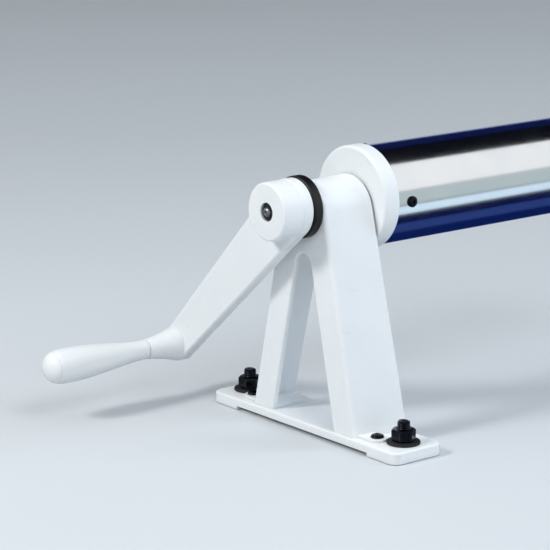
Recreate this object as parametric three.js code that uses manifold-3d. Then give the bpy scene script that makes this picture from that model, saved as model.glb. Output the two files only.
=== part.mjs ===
// The crank end of a roller-tube reel: an A-shaped stand on a bolted base plate carries a long tube,
// and a crank with a turning grip winds it.
// Millimetres. +X runs along the tube, away from the crank, and +Z is up.
// The origin is the middle of the base plate's underside.
import * as THREE from 'three';
import { mergeVertices } from 'three/addons/utils/BufferGeometryUtils.js';
import Module from 'manifold-3d';

const wasm = await Module();
wasm.setup();

// ---------------------------------------------------------------- driving dimensions
const AXIS_HEIGHT = 174;
const FIT = 0.15; // radial gap of a fixed fit
const RUNNING = 0.2; // radial gap of a turning fit
const FACE_GAP = 0.3; // axial gap between two pieces that lie face to face
const SEAT_GAP = 0.1; // gap under a piece that is screwed down flat
const OVERCUT = 1; // how far a cutter runs past the face that it cuts

// base plate
const PLATE_LENGTH = 216;
const PLATE_DEPTH = 48;
const PLATE_TOP = 9;
const PLATE_CORNER = 7;
const LAND_HEIGHT = 3; // how far the two end lands stand below the plate's middle
const LAND_START = 77;
const ANCHOR_Y = 90.5;
const ANCHOR_HOLE_RADIUS = 5.6;
const COUNTERBORE = { radius: 4.8, top: 6 };

// anchor bolts
const STUD = { radius: 5, bottom: 0.2, rise: 6 }; // rise is how far it stands out of its nut
const ANCHOR_WASHER = { radius: 12.5, thickness: 2 };
const ANCHOR_NUT = { corner: 9.2, height: 9 };

// stand shell, a lofted arch that is wider at its open back than at its front wall
const STAND_FRONT = -21;
const STAND_BACK = 24;
const STAND_FOOT = PLATE_TOP + SEAT_GAP;
const WALL = 4;
const FRONT_ARCH = { halfWidth: 60, radius: 25, centre: AXIS_HEIGHT - 7 };
const BACK_ARCH = { halfWidth: 68, radius: 27, centre: AXIS_HEIGHT - 8 };
const LEG_OPENING = { halfWidth: 36, radius: 9, centre: AXIS_HEIGHT - 45 };
const SOLE_THICKNESS = 3;
const SOLE_BACK = 12; // behind this only the skirt reaches down to the plate
const BOSS_RADIUS = 16.5;
const BOSS_BACK = 20;
const RIB_THICKNESS = 3;
const RIB_END = 18;
const TAB = { x: -10, y: 73, root: 59, radius: 7.5, thickness: 2 };
const TAB_SCREW_HEAD = { radius: 5, height: 2.5 };
const SOLE_SCREW = { x: 6, y: 50 };
const SOLE_SCREW_HEAD = { radius: 4.5, height: 2.5 };
const SCREW_SHANK_RADIUS = 2;

// axle and bushes
const AXLE_RADIUS = 8;
const AXLE_END = 70;
const DRILLED_DEPTH = 18; // the axle's screw hole
const BUSH_RADIUS = 12;
const BUSH_SEGMENTS = 40;
const SLEEVE_END = 3; // each bush's sleeve stops this far from the boss's middle
const FRONT_FLANGE = { radius: 23.5, chamfer: 1 };
const REAR_FLANGE = { radius: 14.2, thickness: 2.8 };
const THRUST_WASHER_RADIUS = 13.8;

// crank
const CRANK_THROW = 190;
const CRANK_ANGLE = -43.5; // degrees above the horizontal, towards +Y
const HUB_FRONT = -56;
const CRANK_BACK = -29;
const HUB_RADIUS = 22;
const HUB_CHAMFER = 1.5;
const ARM_FRONT = -39;
const ARM_HUB_RADIUS = 22.5;
const ARM_ELBOW_RADIUS = 14;
const SOCKET_FRONT = -50; // bottom of the square socket that takes the axle
const DRIVE_SIDE = 11;
const CRANK_SCREW_RECESS = { radius: 7, depth: 3 };
const CRANK_WASHER_THICKNESS = 1.2;
const CRANK_SCREW = { radius: 2, head: 3.5, chamfer: 0.8, proud: 0.8, reach: 16 };
const HEX_KEY = { radius: 1.4, depth: 1.4 };

// grip, measured along its own axis from the arm's front face
const NECK_END = 28;
const GRIP_END = 114;
const PLUG_START = 108;
const PLUG_END = 121.6;
const SPINDLE_RADIUS = 4;
const SPINDLE_END = 102;
const SPINDLE_HEAD = { radius: 7, pocket: 4, sunk: 0.5 };
const RETAINER_POCKET = { start: 96, radius: 8 };
const RETAINER = { gap: 0.6, thickness: 2, radius: 6.8 };
const NECK_PROFILE = [[0, 13.7], [3, 12.9], [8, 11.4], [14, 10], [21, 8.7], [NECK_END, 7.9]];
const GRIP_PROFILE = [
  [NECK_END, 7.8], [33, 7.6], [38, 7.7], [43, 8.1], [52, 9.1], [62, 10.4], [71, 11.5],
  [81, 12.5], [90, 13.1], [98, 13.4], [106, 13.4], [111, 12.9], [GRIP_END, 12.1],
];
const PLUG_RIM = 12;
const PLUG_DOME = [[116.8, 10.8], [119.2, 8.4], [121, 4.6], [PLUG_END, 0]];

// tube and end cap
const TUBE_RADIUS = 38.1;
const TUBE_WALL = 1.6;
const TUBE_LENGTH = 300;
const CAP_FRONT = 25.5;
const CAP_BACK = 39;
const CAP_RADIUS = 40;
const SPIGOT_END = 75;
const SPIGOT_WALL = 4;
const CAP_EDGE = 2.5;
const CAP_WEB = 4;
const CORE = { radius: 13, end: 72 };
const CAP_RIB_END = 67;
const CAP_RIB_ANGLES = [30, 150, 270];
const TUBE_SCREW_X = 53;
const TUBE_SCREW_ANGLES = [180, 60, -60]; // degrees about +X, from +Y towards +Z
const TUBE_SCREW_HEAD = { radius: 4.3, height: 2.2 };
const TUBE_SCREW_REACH = 7; // how far its shank runs inside the tube's wall
const CROSS_PIN = { x: 63, radius: 2.5, halfLength: 12.5 };

// ---------------------------------------------------------------- finishes
const finish = (color, roughness, metalness) =>
  new THREE.MeshStandardMaterial({ color, roughness, metalness });
const whiteMoulding = () => finish(0xf1f3f2, 0.42, 0);
const blackNylon = () => finish(0x14161a, 0.5, 0);
const blackRubber = () => finish(0x1b1c1e, 0.8, 0);
const polishedTube = () => finish(0xe4e8eb, 0.12, 1);
const stainless = () => finish(0xb9bcbf, 0.3, 1);
const blackenedSteel = () => finish(0x202328, 0.45, 0.6);

// ---------------------------------------------------------------- helpers
const reel = new THREE.Group();
const radians = (degrees) => THREE.MathUtils.degToRad(degrees);

// A closed geometry as a manifold solid, with its faces turned outwards.
function solid(geometry) {
  const bare = geometry.index ? geometry.toNonIndexed() : geometry.clone();
  for (const name of Object.keys(bare.attributes)) {
    if (name !== 'position') bare.deleteAttribute(name);
  }
  const merged = mergeVertices(bare, 1e-4);
  const position = merged.attributes.position;
  const triangles = [];
  let volume = 0;
  const corner = [new THREE.Vector3(), new THREE.Vector3(), new THREE.Vector3()];
  for (let i = 0; i < merged.index.count; i += 3) {
    const ids = [0, 1, 2].map((k) => merged.index.getX(i + k));
    if (ids[0] === ids[1] || ids[1] === ids[2] || ids[2] === ids[0]) continue;
    ids.forEach((id, k) => corner[k].fromBufferAttribute(position, id));
    volume += corner[0].dot(corner[1].clone().cross(corner[2]));
    triangles.push(ids);
  }
  const ordered = volume < 0 ? triangles.map(([a, b, c]) => [a, c, b]) : triangles;
  return new wasm.Manifold(new wasm.Mesh({
    numProp: 3,
    vertProperties: new Float32Array(position.array),
    triVerts: new Uint32Array(ordered.flat()),
  }));
}

// Adds one finished sub-part to the group.
function addPart(name, body, material) {
  const raw = body.getMesh();
  const geometry = new THREE.BufferGeometry();
  geometry.setAttribute('position', new THREE.BufferAttribute(new Float32Array(raw.vertProperties), 3));
  geometry.setIndex(new THREE.BufferAttribute(new Uint32Array(raw.triVerts), 1));
  geometry.computeVertexNormals();
  const mesh = new THREE.Mesh(geometry, material);
  mesh.name = name;
  reel.add(mesh);
}

// A turned solid about an axis along +X through (0, y, z). The profile holds [x, radius] pairs in order.
function turned(profile, { y = 0, z = AXIS_HEIGHT, segments = 32, ring = false } = {}) {
  const points = profile.map(([x, radius]) => new THREE.Vector2(radius, x));
  if (ring) points.push(points[0].clone());
  const geometry = new THREE.LatheGeometry(points, segments);
  geometry.rotateZ(-Math.PI / 2);
  geometry.translate(0, y, z);
  return solid(geometry);
}

// A plain rod along +X.
function rodX(start, end, radius, place = {}) {
  return turned([[start, 0], [start, radius], [end, radius], [end, 0]], place);
}

// A plain rod along +Z.
function rodZ(x, y, bottom, top, radius, segments = 24) {
  const geometry = new THREE.CylinderGeometry(radius, radius, top - bottom, segments);
  geometry.rotateX(Math.PI / 2);
  geometry.translate(x, y, (bottom + top) / 2);
  return solid(geometry);
}

// A block between two corners.
function block(low, high) {
  const geometry = new THREE.BoxGeometry(high[0] - low[0], high[1] - low[1], high[2] - low[2]);
  geometry.translate((low[0] + high[0]) / 2, (low[1] + high[1]) / 2, (low[2] + high[2]) / 2);
  return solid(geometry);
}

// An outline in the YZ plane, given as [y, z] pairs, extruded along +X.
function extrudedAlongX(outline, start, end) {
  const shape = new THREE.Shape(outline.map(([y, z]) => new THREE.Vector2(y, z)));
  const geometry = new THREE.ExtrudeGeometry(shape, { depth: end - start, bevelEnabled: false });
  const basis = new THREE.Matrix4().makeBasis(
    new THREE.Vector3(0, 1, 0),
    new THREE.Vector3(0, 0, 1),
    new THREE.Vector3(1, 0, 0),
  );
  geometry.applyMatrix4(basis);
  geometry.translate(start, 0, 0);
  return solid(geometry);
}

// An outline in the XY plane, given as a THREE.Shape, extruded upwards.
function extrudedAlongZ(shape, bottom, top) {
  const options = { depth: top - bottom, bevelEnabled: false, curveSegments: 8 };
  const geometry = new THREE.ExtrudeGeometry(shape, options);
  geometry.translate(0, 0, bottom);
  return solid(geometry);
}

// A rectangle with rounded corners, centred on the origin.
function roundedRectangle(width, height, radius) {
  const x = width / 2;
  const y = height / 2;
  const shape = new THREE.Shape();
  shape.moveTo(-x + radius, -y);
  shape.lineTo(x - radius, -y);
  shape.absarc(x - radius, -y + radius, radius, -Math.PI / 2, 0);
  shape.lineTo(x, y - radius);
  shape.absarc(x - radius, y - radius, radius, 0, Math.PI / 2);
  shape.lineTo(-x + radius, y);
  shape.absarc(-x + radius, y - radius, radius, Math.PI / 2, Math.PI);
  shape.lineTo(-x, -y + radius);
  shape.absarc(-x + radius, -y + radius, radius, Math.PI, Math.PI * 1.5);
  return shape;
}

// Two straight legs that run up from the foot and meet a round top as tangents, as [y, z] pairs.
function archOutline({ halfWidth, radius, centre }, foot, steps = 20) {
  const rise = centre - foot;
  const towardsCentre = Math.atan2(rise, -halfWidth);
  const spread = Math.asin(radius / Math.hypot(halfWidth, rise));
  const first = towardsCentre - spread - Math.PI / 2;
  const outline = [[halfWidth, foot]];
  for (let i = 0; i <= steps; i += 1) {
    const angle = first + ((Math.PI - 2 * first) * i) / steps;
    outline.push([radius * Math.cos(angle), centre + radius * Math.sin(angle)]);
  }
  outline.push([-halfWidth, foot]);
  return outline;
}

// A solid between two outlines of equally many points, one at each end along +X.
function lofted(frontOutline, backOutline, front, back) {
  const count = frontOutline.length;
  const points = [
    ...frontOutline.map(([y, z]) => [front, y, z]),
    ...backOutline.map(([y, z]) => [back, y, z]),
  ];
  const triangles = [];
  for (let i = 0; i < count; i += 1) {
    const next = (i + 1) % count;
    triangles.push([i, next, count + next], [i, count + next, count + i]);
  }
  const flat = frontOutline.map(([y, z]) => new THREE.Vector2(y, z));
  for (const [a, b, c] of THREE.ShapeUtils.triangulateShape(flat, [])) {
    triangles.push([c, b, a], [count + a, count + b, count + c]);
  }
  const geometry = new THREE.BufferGeometry();
  const corners = triangles.flat().flatMap((id) => points[id]);
  geometry.setAttribute('position', new THREE.BufferAttribute(new Float32Array(corners), 3));
  return solid(geometry);
}

// An arch part-way between the front and back arches, moved in by a wall.
function arch(x, inset) {
  const t = (x - STAND_FRONT) / (STAND_BACK - STAND_FRONT);
  const mix = (key) => FRONT_ARCH[key] + (BACK_ARCH[key] - FRONT_ARCH[key]) * t;
  return { halfWidth: mix('halfWidth') - inset, radius: mix('radius') - inset, centre: mix('centre') };
}

// ---------------------------------------------------------------- base plate
function makeBasePlate() {
  const outline = roundedRectangle(PLATE_DEPTH, PLATE_LENGTH, PLATE_CORNER);
  let plate = extrudedAlongZ(outline, 0, PLATE_TOP);
  const below = -OVERCUT;
  const above = PLATE_TOP + OVERCUT;
  const hollowLow = [-PLATE_DEPTH, -LAND_START, below];
  plate = plate.subtract(block(hollowLow, [PLATE_DEPTH, LAND_START, LAND_HEIGHT]));
  const screwHole = SCREW_SHANK_RADIUS + FIT;
  for (const side of [-1, 1]) {
    const soleY = side * SOLE_SCREW.y;
    plate = plate.subtract(rodZ(0, side * ANCHOR_Y, below, above, ANCHOR_HOLE_RADIUS));
    plate = plate.subtract(rodZ(TAB.x, side * TAB.y, below, above, screwHole));
    plate = plate.subtract(rodZ(SOLE_SCREW.x, soleY, below, above, screwHole));
    plate = plate.subtract(rodZ(SOLE_SCREW.x, soleY, below, COUNTERBORE.top, COUNTERBORE.radius));
  }
  addPart('base_plate', plate, whiteMoulding());
}

// ---------------------------------------------------------------- stand shell
function makeStandShell() {
  const outer = lofted(
    archOutline(arch(STAND_FRONT, 0), STAND_FOOT),
    archOutline(arch(STAND_BACK, 0), STAND_FOOT),
    STAND_FRONT,
    STAND_BACK,
  );
  const cavityFront = STAND_FRONT + WALL;
  const cavityBack = STAND_BACK + 1;
  const cavityFoot = STAND_FOOT + SOLE_THICKNESS;
  const cavity = lofted(
    archOutline(arch(cavityFront, WALL), cavityFoot),
    archOutline(arch(cavityBack, WALL), cavityFoot),
    cavityFront,
    cavityBack,
  );
  let shell = outer.subtract(cavity);

  const opening = archOutline(LEG_OPENING, STAND_FOOT - OVERCUT);
  shell = shell.subtract(extrudedAlongX(opening, STAND_FRONT - OVERCUT, cavityFront + OVERCUT));
  const between = LEG_OPENING.halfWidth;
  shell = shell.subtract(block(
    [STAND_FRONT + 1, -between, STAND_FOOT - OVERCUT],
    [cavityBack, between, cavityFoot + OVERCUT],
  ));
  const skirtInside = lofted(
    archOutline(arch(SOLE_BACK, WALL), STAND_FOOT - OVERCUT),
    archOutline(arch(cavityBack, WALL), STAND_FOOT - OVERCUT),
    SOLE_BACK,
    cavityBack,
  );
  shell = shell.subtract(skirtInside);

  const bossFront = cavityFront - 1;
  shell = shell.add(rodX(bossFront, BOSS_BACK, BOSS_RADIUS, { segments: BUSH_SEGMENTS }));
  const ribReach = FRONT_ARCH.radius - WALL / 2;
  const halfRib = RIB_THICKNESS / 2;
  shell = shell.add(block(
    [bossFront, -ribReach, FRONT_ARCH.centre - halfRib],
    [RIB_END, ribReach, FRONT_ARCH.centre + halfRib],
  ));
  const bore = BUSH_RADIUS + FIT;
  shell = shell.subtract(
    rodX(STAND_FRONT - OVERCUT, BOSS_BACK + OVERCUT, bore, { segments: BUSH_SEGMENTS }),
  );

  const screwHole = SCREW_SHANK_RADIUS + FIT;
  for (const side of [-1, 1]) {
    const tabY = side * TAB.y;
    const root = side * TAB.root;
    const low = [TAB.x - TAB.radius, Math.min(root, tabY), STAND_FOOT];
    const high = [TAB.x + TAB.radius, Math.max(root, tabY), STAND_FOOT + TAB.thickness];
    shell = shell.add(block(low, high));
    shell = shell.add(rodZ(TAB.x, tabY, low[2], high[2], TAB.radius));
    shell = shell.subtract(rodZ(TAB.x, tabY, low[2] - OVERCUT, high[2] + OVERCUT, screwHole));
    const soleY = side * SOLE_SCREW.y;
    const soleTop = cavityFoot + OVERCUT;
    shell = shell.subtract(rodZ(SOLE_SCREW.x, soleY, STAND_FOOT - OVERCUT, soleTop, screwHole));
  }
  addPart('stand_shell', shell, whiteMoulding());
}

// ---------------------------------------------------------------- screws that hold the stand and the base
function makeStandScrews() {
  for (const [label, side] of [['right', -1], ['left', 1]]) {
    const seat = STAND_FOOT + TAB.thickness + SEAT_GAP;
    const tabY = side * TAB.y;
    const tabHeadTop = seat + TAB_SCREW_HEAD.height;
    const tabScrew = rodZ(TAB.x, tabY, LAND_HEIGHT + 1, seat + 1, SCREW_SHANK_RADIUS)
      .add(rodZ(TAB.x, tabY, seat, tabHeadTop, TAB_SCREW_HEAD.radius));
    addPart(`tab_screw_${label}`, tabScrew, blackenedSteel());

    const soleY = side * SOLE_SCREW.y;
    const soleHeadTop = COUNTERBORE.top - SEAT_GAP;
    const soleHeadBottom = soleHeadTop - SOLE_SCREW_HEAD.height;
    const soleScrewTop = STAND_FOOT + SOLE_THICKNESS - 0.5;
    const soleScrew = rodZ(SOLE_SCREW.x, soleY, soleHeadBottom, soleHeadTop, SOLE_SCREW_HEAD.radius)
      .add(rodZ(SOLE_SCREW.x, soleY, soleHeadTop - 1, soleScrewTop, SCREW_SHANK_RADIUS));
    addPart(`sole_screw_${label}`, soleScrew, stainless());
  }
}

function makeAnchors() {
  const washerBottom = PLATE_TOP + SEAT_GAP;
  const washerTop = washerBottom + ANCHOR_WASHER.thickness;
  const nutBottom = washerTop + SEAT_GAP;
  const nutTop = nutBottom + ANCHOR_NUT.height;
  const hole = STUD.radius + FIT;
  for (const [label, side] of [['right', -1], ['left', 1]]) {
    const y = side * ANCHOR_Y;
    const stud = rodZ(0, y, STUD.bottom, nutTop + STUD.rise, STUD.radius);
    addPart(`anchor_stud_${label}`, stud, blackenedSteel());
    const washer = rodZ(0, y, washerBottom, washerTop, ANCHOR_WASHER.radius, 40)
      .subtract(rodZ(0, y, washerBottom - OVERCUT, washerTop + OVERCUT, hole));
    addPart(`anchor_washer_${label}`, washer, blackRubber());
    const nut = rodZ(0, y, nutBottom, nutTop, ANCHOR_NUT.corner, 6)
      .subtract(rodZ(0, y, nutBottom - OVERCUT, nutTop + OVERCUT, hole));
    addPart(`anchor_nut_${label}`, nut, blackenedSteel());
  }
}

// ---------------------------------------------------------------- bearings
function makeFrontBush() {
  const front = CRANK_BACK + FACE_GAP;
  const back = STAND_FRONT - SEAT_GAP;
  const { radius, chamfer } = FRONT_FLANGE;
  const bush = turned([
    [front, AXLE_RADIUS + RUNNING],
    [front, radius - chamfer],
    [front + chamfer, radius],
    [back - chamfer, radius],
    [back, radius - chamfer],
    [back, BUSH_RADIUS],
    [-SLEEVE_END, BUSH_RADIUS],
    [-SLEEVE_END, AXLE_RADIUS + RUNNING],
  ], { segments: BUSH_SEGMENTS, ring: true });
  addPart('front_bush', bush, blackNylon());
}

function makeRearBush() {
  const flangeFront = BOSS_BACK + SEAT_GAP;
  const flangeBack = flangeFront + REAR_FLANGE.thickness;
  const bush = turned([
    [SLEEVE_END, AXLE_RADIUS + RUNNING],
    [SLEEVE_END, BUSH_RADIUS],
    [flangeFront, BUSH_RADIUS],
    [flangeFront, REAR_FLANGE.radius],
    [flangeBack, REAR_FLANGE.radius],
    [flangeBack, AXLE_RADIUS + RUNNING],
  ], { segments: BUSH_SEGMENTS, ring: true });
  addPart('rear_bush', bush, blackNylon());

  const washerFront = flangeBack + SEAT_GAP;
  const washerBack = CAP_FRONT - FACE_GAP;
  const washer = turned([
    [washerFront, AXLE_RADIUS + RUNNING],
    [washerFront, THRUST_WASHER_RADIUS],
    [washerBack, THRUST_WASHER_RADIUS],
    [washerBack, AXLE_RADIUS + RUNNING],
  ], { ring: true });
  addPart('thrust_washer', washer, stainless());
}

// ---------------------------------------------------------------- axle
function makeAxle() {
  const half = DRIVE_SIDE / 2;
  const driveFront = SOCKET_FRONT + FACE_GAP;
  const drive = block(
    [driveFront, -half, AXIS_HEIGHT - half],
    [CRANK_BACK + 2, half, AXIS_HEIGHT + half],
  );
  let axle = rodX(CRANK_BACK + 1, AXLE_END, AXLE_RADIUS).add(drive);
  const drilledEnd = driveFront + DRILLED_DEPTH;
  axle = axle.subtract(rodX(driveFront - OVERCUT, drilledEnd, CRANK_SCREW.radius + FIT, { segments: 20 }));
  const pinHole = CROSS_PIN.radius + FIT;
  const pinReach = AXLE_RADIUS + OVERCUT;
  axle = axle.subtract(rodZ(CROSS_PIN.x, 0, AXIS_HEIGHT - pinReach, AXIS_HEIGHT + pinReach, pinHole));
  addPart('axle', axle, stainless());

  const pin = rodZ(
    CROSS_PIN.x,
    0,
    AXIS_HEIGHT - CROSS_PIN.halfLength,
    AXIS_HEIGHT + CROSS_PIN.halfLength,
    CROSS_PIN.radius,
  );
  addPart('axle_cross_pin', pin, stainless());
}

// ---------------------------------------------------------------- crank
const crankY = CRANK_THROW * Math.cos(radians(CRANK_ANGLE));
const crankZ = AXIS_HEIGHT + CRANK_THROW * Math.sin(radians(CRANK_ANGLE));
const atGrip = { y: crankY, z: crankZ, segments: 28 };
const fromArm = (profile) => profile.map(([distance, radius]) => [ARM_FRONT - distance, radius]);

// The outline around the arm's two round ends and their common tangents.
function armOutline() {
  const lean = Math.asin((ARM_HUB_RADIUS - ARM_ELBOW_RADIUS) / CRANK_THROW);
  const along = radians(CRANK_ANGLE);
  const steps = 14;
  const outline = [];
  const addArc = (y, z, radius, from, to) => {
    for (let i = 0; i <= steps; i += 1) {
      const angle = from + ((to - from) * i) / steps;
      outline.push([y + radius * Math.cos(angle), z + radius * Math.sin(angle)]);
    }
  };
  const side = Math.PI / 2 - lean;
  addArc(crankY, crankZ, ARM_ELBOW_RADIUS, along - side, along + side);
  addArc(0, AXIS_HEIGHT, ARM_HUB_RADIUS, along + side, along - side + 2 * Math.PI);
  return outline;
}

function makeCrankArm() {
  let arm = extrudedAlongX(armOutline(), ARM_FRONT, CRANK_BACK);
  arm = arm.add(turned([
    [HUB_FRONT, 0],
    [HUB_FRONT, HUB_RADIUS - HUB_CHAMFER],
    [HUB_FRONT + HUB_CHAMFER, HUB_RADIUS],
    [CRANK_BACK, HUB_RADIUS],
    [CRANK_BACK, 0],
  ], { segments: 48 }));
  const insideArm = ARM_FRONT + 2;
  const neck = [
    [insideArm, 0],
    [insideArm, NECK_PROFILE[0][1]],
    ...fromArm(NECK_PROFILE),
    [ARM_FRONT - NECK_END, 0],
  ];
  arm = arm.add(turned(neck, atGrip));

  const half = DRIVE_SIDE / 2 + FIT;
  const beyond = CRANK_BACK + OVERCUT;
  arm = arm.subtract(block([SOCKET_FRONT, -half, AXIS_HEIGHT - half], [beyond, half, AXIS_HEIGHT + half]));
  arm = arm.subtract(rodX(CRANK_BACK - 1, beyond, AXLE_RADIUS + FIT));
  const screwHole = CRANK_SCREW.radius + FIT;
  arm = arm.subtract(rodX(HUB_FRONT - OVERCUT, SOCKET_FRONT + OVERCUT, screwHole, { segments: 20 }));
  const recessBack = HUB_FRONT + CRANK_SCREW_RECESS.depth;
  arm = arm.subtract(rodX(HUB_FRONT - OVERCUT, recessBack, CRANK_SCREW_RECESS.radius));

  const neckFront = ARM_FRONT - NECK_END - OVERCUT;
  arm = arm.subtract(rodX(neckFront, beyond, SPINDLE_RADIUS + FIT, atGrip));
  arm = arm.subtract(rodX(CRANK_BACK - SPINDLE_HEAD.pocket, beyond, SPINDLE_HEAD.radius + FIT, atGrip));
  addPart('crank_arm', arm, whiteMoulding());
}

function makeCrankScrew() {
  const seat = HUB_FRONT + CRANK_SCREW_RECESS.depth;
  const washerFront = seat - CRANK_WASHER_THICKNESS;
  const washer = turned([
    [washerFront, CRANK_SCREW.radius + FIT],
    [washerFront, CRANK_SCREW_RECESS.radius - FIT],
    [seat - SEAT_GAP, CRANK_SCREW_RECESS.radius - FIT],
    [seat - SEAT_GAP, CRANK_SCREW.radius + FIT],
  ], { ring: true });
  addPart('crank_washer', washer, blackRubber());

  const headBack = washerFront - SEAT_GAP;
  const headFront = HUB_FRONT - CRANK_SCREW.proud;
  const screwEnd = SOCKET_FRONT + CRANK_SCREW.reach;
  const screw = turned([
    [headFront, 0],
    [headFront, CRANK_SCREW.head - CRANK_SCREW.chamfer],
    [headFront + CRANK_SCREW.chamfer, CRANK_SCREW.head],
    [headBack, CRANK_SCREW.head],
    [headBack, CRANK_SCREW.radius],
    [screwEnd, CRANK_SCREW.radius],
    [screwEnd, 0],
  ], { segments: 24 });
  const key = rodX(headFront - OVERCUT, headFront + HEX_KEY.depth, HEX_KEY.radius, { segments: 6 });
  addPart('crank_screw', screw.subtract(key), stainless());
}

// ---------------------------------------------------------------- turning grip
function makeGrip() {
  const start = NECK_END + FACE_GAP;
  const outer = GRIP_PROFILE.map(([distance, radius]) => [Math.max(distance, start), radius]);
  let grip = turned(fromArm([[start, 0], ...outer, [GRIP_END, 0]]), atGrip);
  const mouth = ARM_FRONT - GRIP_END - OVERCUT;
  const pocketBack = ARM_FRONT - RETAINER_POCKET.start;
  grip = grip.subtract(rodX(mouth, ARM_FRONT - NECK_END, SPINDLE_RADIUS + RUNNING, atGrip));
  grip = grip.subtract(rodX(mouth, pocketBack, RETAINER_POCKET.radius, atGrip));
  addPart('handle_grip', grip, whiteMoulding());

  const plug = turned(fromArm([
    [PLUG_START, 0],
    [PLUG_START, RETAINER_POCKET.radius - FIT],
    [GRIP_END + SEAT_GAP, RETAINER_POCKET.radius - FIT],
    [GRIP_END + SEAT_GAP, PLUG_RIM],
    ...PLUG_DOME,
  ]), atGrip);
  addPart('grip_end_plug', plug, whiteMoulding());
}

function makeSpindle() {
  const headBack = CRANK_BACK - SPINDLE_HEAD.sunk;
  const headFront = CRANK_BACK - SPINDLE_HEAD.pocket + SEAT_GAP;
  const spindle = turned([
    [ARM_FRONT - SPINDLE_END, 0],
    [ARM_FRONT - SPINDLE_END, SPINDLE_RADIUS],
    [headFront, SPINDLE_RADIUS],
    [headFront, SPINDLE_HEAD.radius],
    [headBack, SPINDLE_HEAD.radius],
    [headBack, 0],
  ], atGrip);
  addPart('grip_spindle', spindle, stainless());

  const retainerStart = RETAINER_POCKET.start + RETAINER.gap;
  const retainerEnd = retainerStart + RETAINER.thickness;
  const retainer = turned(fromArm([
    [retainerStart, SPINDLE_RADIUS + FIT],
    [retainerStart, RETAINER.radius],
    [retainerEnd, RETAINER.radius],
    [retainerEnd, SPINDLE_RADIUS + FIT],
  ]), { ...atGrip, ring: true });
  addPart('grip_retainer', retainer, stainless());
}

// ---------------------------------------------------------------- end cap and tube
const TUBE_INNER = TUBE_RADIUS - TUBE_WALL;
const SPIGOT_RADIUS = TUBE_INNER - FIT;

// A rod that points outwards from the tube's axis at an angle about +X.
function radialRod(x, angle, from, to, radius) {
  const geometry = new THREE.CylinderGeometry(radius, radius, to - from, 20);
  geometry.translate(0, (from + to) / 2, 0);
  geometry.rotateX(radians(angle));
  geometry.translate(x, 0, AXIS_HEIGHT);
  return solid(geometry);
}

function makeEndCap() {
  const eased = CAP_EDGE * 0.3; // a third point that rounds the flange's edge
  const inside = SPIGOT_RADIUS - SPIGOT_WALL;
  let cap = turned([
    [CAP_FRONT, 0],
    [CAP_FRONT, CAP_RADIUS - CAP_EDGE],
    [CAP_FRONT + eased, CAP_RADIUS - eased],
    [CAP_FRONT + CAP_EDGE, CAP_RADIUS],
    [CAP_BACK, CAP_RADIUS],
    [CAP_BACK, SPIGOT_RADIUS],
    [SPIGOT_END, SPIGOT_RADIUS],
    [SPIGOT_END, inside],
    [CAP_BACK + CAP_WEB, inside],
    [CAP_BACK + CAP_WEB, 0],
  ], { segments: 64 });
  cap = cap.add(rodX(CAP_BACK, CORE.end, CORE.radius));
  const halfRib = RIB_THICKNESS / 2;
  for (const angle of CAP_RIB_ANGLES) {
    const low = [CAP_BACK, CORE.radius - 2, -halfRib];
    const high = [CAP_RIB_END, SPIGOT_RADIUS - SPIGOT_WALL / 2, halfRib];
    const rib = block(low, high).rotate([angle, 0, 0]);
    cap = cap.add(rib.translate([0, 0, AXIS_HEIGHT]));
  }
  cap = cap.subtract(rodX(CAP_FRONT - OVERCUT, CORE.end + OVERCUT, AXLE_RADIUS + FIT));
  const pinHole = CROSS_PIN.radius + FIT;
  const pinReach = CORE.radius + OVERCUT;
  cap = cap.subtract(rodZ(CROSS_PIN.x, 0, AXIS_HEIGHT - pinReach, AXIS_HEIGHT + pinReach, pinHole));
  const screwHole = SCREW_SHANK_RADIUS + FIT;
  for (const angle of TUBE_SCREW_ANGLES) {
    cap = cap.subtract(radialRod(TUBE_SCREW_X, angle, inside - OVERCUT, CAP_RADIUS, screwHole));
  }
  addPart('end_cap', cap, whiteMoulding());
}

function makeTube() {
  const start = CAP_BACK + SEAT_GAP;
  let tube = turned([
    [start, TUBE_INNER],
    [start, TUBE_RADIUS],
    [start + TUBE_LENGTH, TUBE_RADIUS],
    [start + TUBE_LENGTH, TUBE_INNER],
  ], { segments: 64, ring: true });
  const screwHole = SCREW_SHANK_RADIUS + FIT;
  for (const angle of TUBE_SCREW_ANGLES) {
    const drill = radialRod(TUBE_SCREW_X, angle, TUBE_INNER - OVERCUT, TUBE_RADIUS + OVERCUT, screwHole);
    tube = tube.subtract(drill);
  }
  addPart('tube', tube, polishedTube());
}

function makeTubeScrews() {
  const seat = TUBE_RADIUS + SEAT_GAP;
  const top = seat + TUBE_SCREW_HEAD.height;
  const inner = TUBE_INNER - TUBE_SCREW_REACH;
  for (const [index, angle] of TUBE_SCREW_ANGLES.entries()) {
    const screw = radialRod(TUBE_SCREW_X, angle, inner, seat + 1, SCREW_SHANK_RADIUS)
      .add(radialRod(TUBE_SCREW_X, angle, seat, top, TUBE_SCREW_HEAD.radius));
    addPart(`tube_screw_${index + 1}`, screw, blackenedSteel());
  }
}

makeBasePlate();
makeStandShell();
makeStandScrews();
makeAnchors();
makeFrontBush();
makeRearBush();
makeAxle();
makeCrankArm();
makeCrankScrew();
makeGrip();
makeSpindle();
makeEndCap();
makeTube();
makeTubeScrews();

export default reel;
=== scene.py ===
import logging
import math
from collections.abc import Callable, Sequence
from dataclasses import dataclass, field
from enum import Enum

import bmesh
import bpy
from mathutils import Matrix, Vector


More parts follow.
